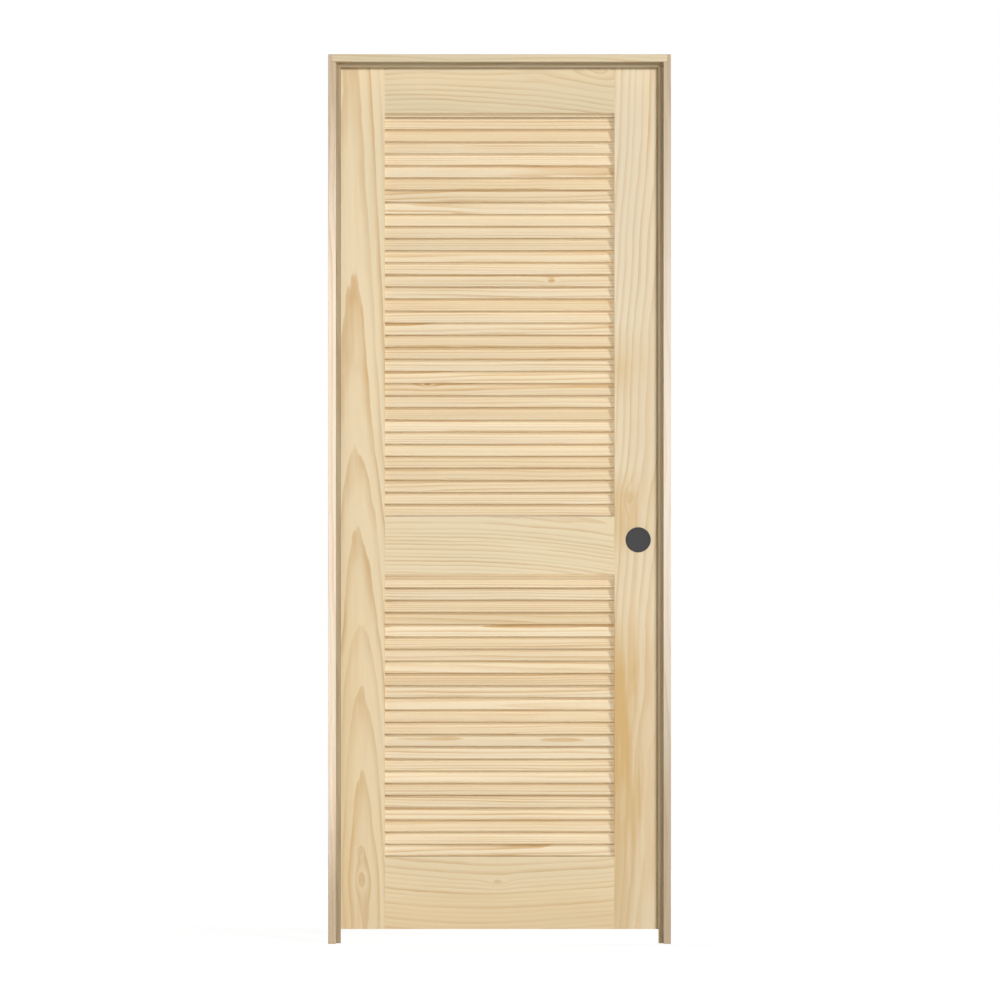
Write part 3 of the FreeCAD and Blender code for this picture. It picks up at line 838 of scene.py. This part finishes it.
class HardwareSizes(bpy.types.PropertyGroup):
    """Sizes of the screws and the bore cover."""

    hinges: count_setting("Hinges", "Hinges on the door", 3)
    head_radius: length_setting("Head radius", "Radius of a screw head", 0.0043)
    head_edge: length_setting("Head edge", "Straight edge of a screw head", 0.0002)
    head_depth: length_setting("Head depth", "Depth of the countersunk head", 0.0019)
    shank_radius: length_setting("Shank radius", "Radius over the thread", 0.002)
    thread_core: FloatProperty(
        name="Thread core", description="Core of the thread as a share of the shank", subtype="FACTOR",
        default=0.68,
    )
    thread_pitch: length_setting("Thread pitch", "Rise of one turn", 0.0018)
    thread_rows: count_setting("Thread rows", "Rows of faces in one turn", 4)
    tip_length: length_setting("Tip", "Length of the tapered tip", 0.004)
    screw_facets: count_setting("Screw facets", "Facets round a screw", 20)
    recess_length: length_setting("Recess length", "Length of the cross recess", 0.0046)
    recess_width: length_setting("Recess width", "Width of an arm of the recess", 0.0009)
    recess_depth: length_setting("Recess depth", "Depth of the recess", 0.0012)
    recess_taper: FloatProperty(
        name="Recess taper", description="Floor of the recess as a share of its mouth", subtype="FACTOR",
        default=0.6,
    )
    cover_round: length_setting("Cover edge", "Rounding of the cover's front edge", 0.0009)
    cover_rim: length_setting("Cover rim", "From the cover's edge to its groove", 0.0032)
    cover_groove: length_setting("Cover groove", "Half the width of the groove", 0.0006)
    cover_facets: count_setting("Cover facets", "Facets round the cover", 96)
    seed: count_setting("Seed", "Choice of the screws' turns", 11)


class HardwareLook(bpy.types.PropertyGroup):
    """Colours of the metal, the dowels and the cover."""

    metal: colour_setting("Hinge metal", "Satin hinge metal", (0.5, 0.48, 0.445))
    screw: colour_setting("Screw metal", "Satin screw metal", (0.46, 0.44, 0.41))
    nail: colour_setting("Nail metal", "Bright nail wire", (0.5, 0.5, 0.5))
    dowel: colour_setting("Dowel wood", "Hardwood of the dowels", (0.68, 0.52, 0.34))
    cover: colour_setting("Bore cover", "Plastic of the bore cover", (0.0275, 0.0268, 0.028))


class StageLook(bpy.types.PropertyGroup):
    """Camera and light."""

    distance: length_setting("Camera distance", "From the jambs' front edges", 30.0)
    view_width: length_setting("View width", "Width of the view at the jambs' front edges", 2.3337)
    view_middle: FloatVectorProperty(
        name="View middle", description="Side and height of the view's middle", size=2, unit="LENGTH",
        default=(0.00095, 1.0361),
    )
    ambient: FloatProperty(name="Ambient", description="Strength of the light from all round", default=0.06)
    lamp_distance: length_setting("Lamp distance", "From the door to each lamp", 10.0)
    lamp_size: length_setting("Lamp size", "Side of a square lamp", 1.4)
    front_power: power_setting("Front power", "Power of the front lamp", 415)
    board_power: power_setting("Board power", "Power of the lamp on the slab's boards", 297)
    side_power: power_setting("Side power", "Power of the side lamp", 430)
    fill_power: power_setting("Fill power", "Power of each other lamp", 310)


class DOOR_OT_slab_boards(bpy.types.Operator):
    """Finish the stiles and rails in pine, each from its own cut"""

    bl_idname = "door.slab_boards"
    bl_label = "Finish stiles and rails"

    def execute(self, context):
        for node in SLAB_BOARDS:
            dress(node, pine_board(node, context.scene.door_pine))
        return {"FINISHED"}


class DOOR_OT_frame_boards(bpy.types.Operator):
    """Finish the jambs, the head and the stops in pine"""

    bl_idname = "door.frame_boards"
    bl_label = "Finish jambs and stops"

    def execute(self, context):
        for node in FRAME_BOARDS:
            dress(node, pine_board(node, context.scene.door_pine))
        return {"FINISHED"}


class DOOR_OT_louvres(bpy.types.Operator):
    """Lay the tilted slats into both panels"""

    bl_idname = "door.louvres"
    bl_label = "Lay slats"

    def execute(self, context):
        sizes = context.scene.door_slats
        panels = {
            "upper": (sizes.upper_count, upper_first, upper_second, sizes.upper_seed),
            "lower": (sizes.lower_count, lower_first, lower_second, sizes.lower_seed),
        }
        rise = (sizes.width - sizes.thickness) * math.sin(sizes.tilt) + sizes.thickness
        material = pine_slats("pine_slats", context.scene.door_pine)
        for panel, (count, first, second, seed) in panels.items():
            pitch = (second[0].z - first[0].z) / SLATS_IN_A_NODE
            middle = Vector((0, (first[0].y + first[1].y) / 2, first[0].z + rise / 2))
            rule = louvre_layout(panel + " louvre", count, pitch, middle, sizes, seed, material)
            mesh = rule.run(slat_blank(sizes))
            nodes = sorted(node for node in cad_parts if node.startswith(panel + "_slats_"))
            trim_above(mesh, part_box(nodes[-1])[1].z)
            new_piece(panel + "_louvre", mesh, "door", "door_pine", *nodes)
        return {"FINISHED"}


class DOOR_OT_hinges(bpy.types.Operator):
    """Finish the hinge leaves and pins in satin metal"""

    bl_idname = "door.hinges"
    bl_label = "Finish hinges"

    def execute(self, context):
        look = context.scene.door_hardware
        leaf_metal = satin_metal("satin_leaf", look.metal, roughness=0.34, brushed="Z")
        pin_metal = satin_metal("satin_pin", look.metal, roughness=0.28, brushed="Z")
        for hinge in HINGES:
            dress("jamb_leaf_" + hinge, leaf_metal)
            dress("door_leaf_" + hinge, leaf_metal)
            dress("hinge_pin_" + hinge, pin_metal)
        return {"FINISHED"}


class DOOR_OT_screws(bpy.types.Operator):
    """Drive the screws of the hinge leaves"""

    bl_idname = "door.screws"
    bl_label = "Drive screws"

    def execute(self, context):
        sizes = context.scene.door_hardware_sizes
        material = satin_metal("satin_screw", context.scene.door_hardware.screw, roughness=0.3, brushed="Y")
        heights = [sum(corner.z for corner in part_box("jamb_leaf_" + hinge)) / 2 for hinge in HINGES]
        lowest, highest = min(heights), max(heights)
        for leaf, body, turn in (("jamb", "frame", 0.0), ("door", "door", math.pi)):
            node = leaf + "_leaf_screws"
            low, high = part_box(node)
            outer_row = high.y - sizes.head_radius
            place = {
                "First hinge": lowest,
                "Hinge spacing": (highest - lowest) / (sizes.hinges - 1),
                "Face": low.x if turn else high.x,
                "Turn": turn,
                "Outer row": outer_row,
                "Stagger": outer_row - low.y - sizes.head_radius,
                "Reach": high.z - sizes.head_radius - highest,
            }
            rule = screw_layout(leaf + " leaf screws", place, sizes, material)
            mesh = rule.run(screw_blank(sizes, high.x - low.x))
            new_piece(leaf + "_screws", mesh, body, "screw_metal", node)
        return {"FINISHED"}


class DOOR_OT_fixings(bpy.types.Operator):
    """Finish the nails and brads of the frame and the dowels of the slab"""

    bl_idname = "door.fixings"
    bl_label = "Finish nails and dowels"

    def execute(self, context):
        look = context.scene.door_hardware
        nail_metal = satin_metal("nail_wire", look.nail, roughness=0.36, brushed="X")
        for node in ("frame_nails", "stop_brads"):
            dress(node, nail_metal)
        hardwood = dowel_wood("dowel_hardwood", look.dowel)
        for node in DOWELS:
            dress(node, hardwood)
        return {"FINISHED"}


class DOOR_OT_bore_cover(bpy.types.Operator):
    """Stick the cover over the lockset bore"""

    bl_idname = "door.bore_cover"
    bl_label = "Stick bore cover"

    def execute(self, context):
        mesh = cover_mesh(*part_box("bore_cover"), context.scene.door_hardware_sizes)
        mesh.materials.append(moulded_plastic("cover_plastic", context.scene.door_hardware.cover))
        new_piece("bore_cover_disc", mesh, "door", "cover_plastic", "bore_cover")
        return {"FINISHED"}


# Where the lamps hang, in degrees round from the front towards the strike side and degrees up, and the height
# that they look at.
FRONT_LAMP, SIDE_LAMP = (14, 14), (40, 32)
FILL_LAMPS = {"left": (-100, 25), "back_left": (215, 25), "back_right": (150, 20)}
LAMP_AIM = 1.1
# The floor as light meets it, and as it is seen, with its own glow.
FLOOR_LIT, FLOOR_SEEN, FLOOR_GLOW = (0.9, 0.9, 0.9, 1), (0.2, 0.2, 0.2, 1), 0.86
FLOOR_RADIUS, FLOOR_FACETS, FLOOR_DROP = 6.0, 96, 0.0005
WHITE, BLACK = (1, 1, 1, 1), (0, 0, 0, 1)
VIEW_DEPTH = 200


class DOOR_OT_stage(bpy.types.Operator):
    """Set the floor, the light and the camera"""

    bl_idname = "door.stage"
    bl_label = "Set stage"

    def execute(self, context):
        look = context.scene.door_stage
        set_world(look)
        lay_floor()
        front = hang_lamp("front", FRONT_LAMP, look.front_power, look)
        front.light_linking.blocker_collection = lamp_list("past_the_slab", SLAB_BOARDS + DOWELS, "EXCLUDE")
        boards = hang_lamp("boards", FRONT_LAMP, look.board_power, look)
        boards.light_linking.receiver_collection = lamp_list("on_the_slab", SLAB_BOARDS, "INCLUDE")
        side = hang_lamp("side", SIDE_LAMP, look.side_power, look)
        side.light_linking.blocker_collection = lamp_list("past_the_frame", FRAME_BOARDS, "EXCLUDE")
        side.light_linking.receiver_collection = lamp_list("off_the_boards", STOPS + SLAB_BOARDS, "EXCLUDE")
        for name, angles in FILL_LAMPS.items():
            hang_lamp(name, angles, look.fill_power, look)
        set_camera(look)
        context.scene.view_settings.view_transform = "Standard"
        return {"FINISHED"}


def seen_ray(sheet):
    """1 for rays of the camera, of reflections and through glass, and 0 for light on the object."""
    kinds = ("Is Camera Ray", "Is Glossy Ray", "Is Transmission Ray")
    camera, glossy, through = (sheet.node("ShaderNodeLightPath", output=kind) for kind in kinds)
    return sheet.maths("MAXIMUM", sheet.maths("MAXIMUM", camera, glossy), through)


def set_world(look):
    """White to the eye, and a level soft light on the object."""
    world = bpy.data.worlds.new("white_room")
    bpy.context.scene.world = world
    world.use_nodes = True
    sheet = Sheet(world.node_tree)
    ground = next(n for n in world.node_tree.nodes if n.type == "BACKGROUND")
    ground.inputs["Color"].default_value = WHITE
    strength = look.ambient + (1 - look.ambient) * seen_ray(sheet)
    world.node_tree.links.new(strength.socket, ground.inputs["Strength"])


def lay_floor():
    """A wide pale disc that takes the door's shadow."""
    work = bmesh.new()
    bmesh.ops.create_circle(work, cap_ends=True, radius=FLOOR_RADIUS, segments=FLOOR_FACETS)
    floor = bpy.data.objects.new("floor", mesh_from(work, "floor"))
    bpy.context.scene.collection.objects.link(floor)
    floor.location.z = cad_box[0][2] - FLOOR_DROP
    finish = Finish("floor_white", Roughness=0.9, Specular_IOR_Level=0.0, Emission_Strength=FLOOR_GLOW)
    seen = seen_ray(finish)
    finish.feed("Base Color", finish.blend(seen, FLOOR_LIT, FLOOR_SEEN))
    finish.feed("Emission Color", finish.blend(seen, BLACK, WHITE))
    floor.data.materials.append(finish.material)


def hang_lamp(name, angles, power, look):
    """A soft square lamp that looks at the slab's middle from a side and height."""
    turn, climb = (math.radians(angle) for angle in angles)
    way = Vector((math.sin(turn) * math.cos(climb), -math.cos(turn) * math.cos(climb), math.sin(climb)))
    lamp = bpy.data.lights.new(name, "AREA")
    lamp.size = look.lamp_size
    lamp.energy = power
    holder = bpy.data.objects.new(name, lamp)
    bpy.context.scene.collection.objects.link(holder)
    holder.location = Vector((0, slab_front, LAMP_AIM)) + way * look.lamp_distance
    holder.rotation_euler = way.to_track_quat("Z", "Y").to_euler()
    return holder


def lamp_list(name, nodes, state):
    """A list of the nodes that a lamp takes alone, or leaves out."""
    listed = bpy.data.collections.new(name)
    for node in nodes:
        listed.objects.link(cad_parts[node])
    for item in listed.collection_objects:
        item.light_linking.link_state = state
    return listed


def set_camera(look):
    """Far off with a long lens, square to the door."""
    camera = bpy.data.cameras.new("camera")
    camera.lens = camera.sensor_width * look.distance / look.view_width
    camera.clip_end = VIEW_DEPTH
    holder = bpy.data.objects.new("camera", camera)
    bpy.context.scene.collection.objects.link(holder)
    holder.location = (look.view_middle[0], cad_box[0][1] - look.distance, look.view_middle[1])
    holder.rotation_euler = (math.pi / 2, 0, 0)
    bpy.context.scene.camera = holder


OPERATORS = (
    DOOR_OT_slab_boards,
    DOOR_OT_frame_boards,
    DOOR_OT_louvres,
    DOOR_OT_hinges,
    DOOR_OT_screws,
    DOOR_OT_fixings,
    DOOR_OT_bore_cover,
    DOOR_OT_stage,
)
LOOKS = {
    "door_pine": PineLook,
    "door_slats": SlatSizes,
    "door_hardware_sizes": HardwareSizes,
    "door_hardware": HardwareLook,
    "door_stage": StageLook,
}


class DOOR_PT_panel(bpy.types.Panel):
    """Lists the steps that dress the door."""

    bl_idname = "DOOR_PT_panel"
    bl_label = "Louvred door"
    bl_space_type = "VIEW_3D"
    bl_region_type = "UI"
    bl_category = "Louvred door"

    def draw(self, context):
        for operator in OPERATORS:
            self.layout.operator(operator.bl_idname)


def register():
    for name, look in LOOKS.items():
        bpy.utils.register_class(look)
        setattr(bpy.types.Scene, name, PointerProperty(type=look))
    for kind in OPERATORS + (DOOR_PT_panel,):
        bpy.utils.register_class(kind)


def unregister():
    for kind in reversed(OPERATORS + (DOOR_PT_panel,)):
        bpy.utils.unregister_class(kind)
    for name, look in LOOKS.items():
        delattr(bpy.types.Scene, name)
        bpy.utils.unregister_class(look)


def main():
    register()
    for operator in OPERATORS:
        group, step = operator.bl_idname.split(".")
        getattr(getattr(bpy.ops, group), step)()


if __name__ == "__main__":
    main()
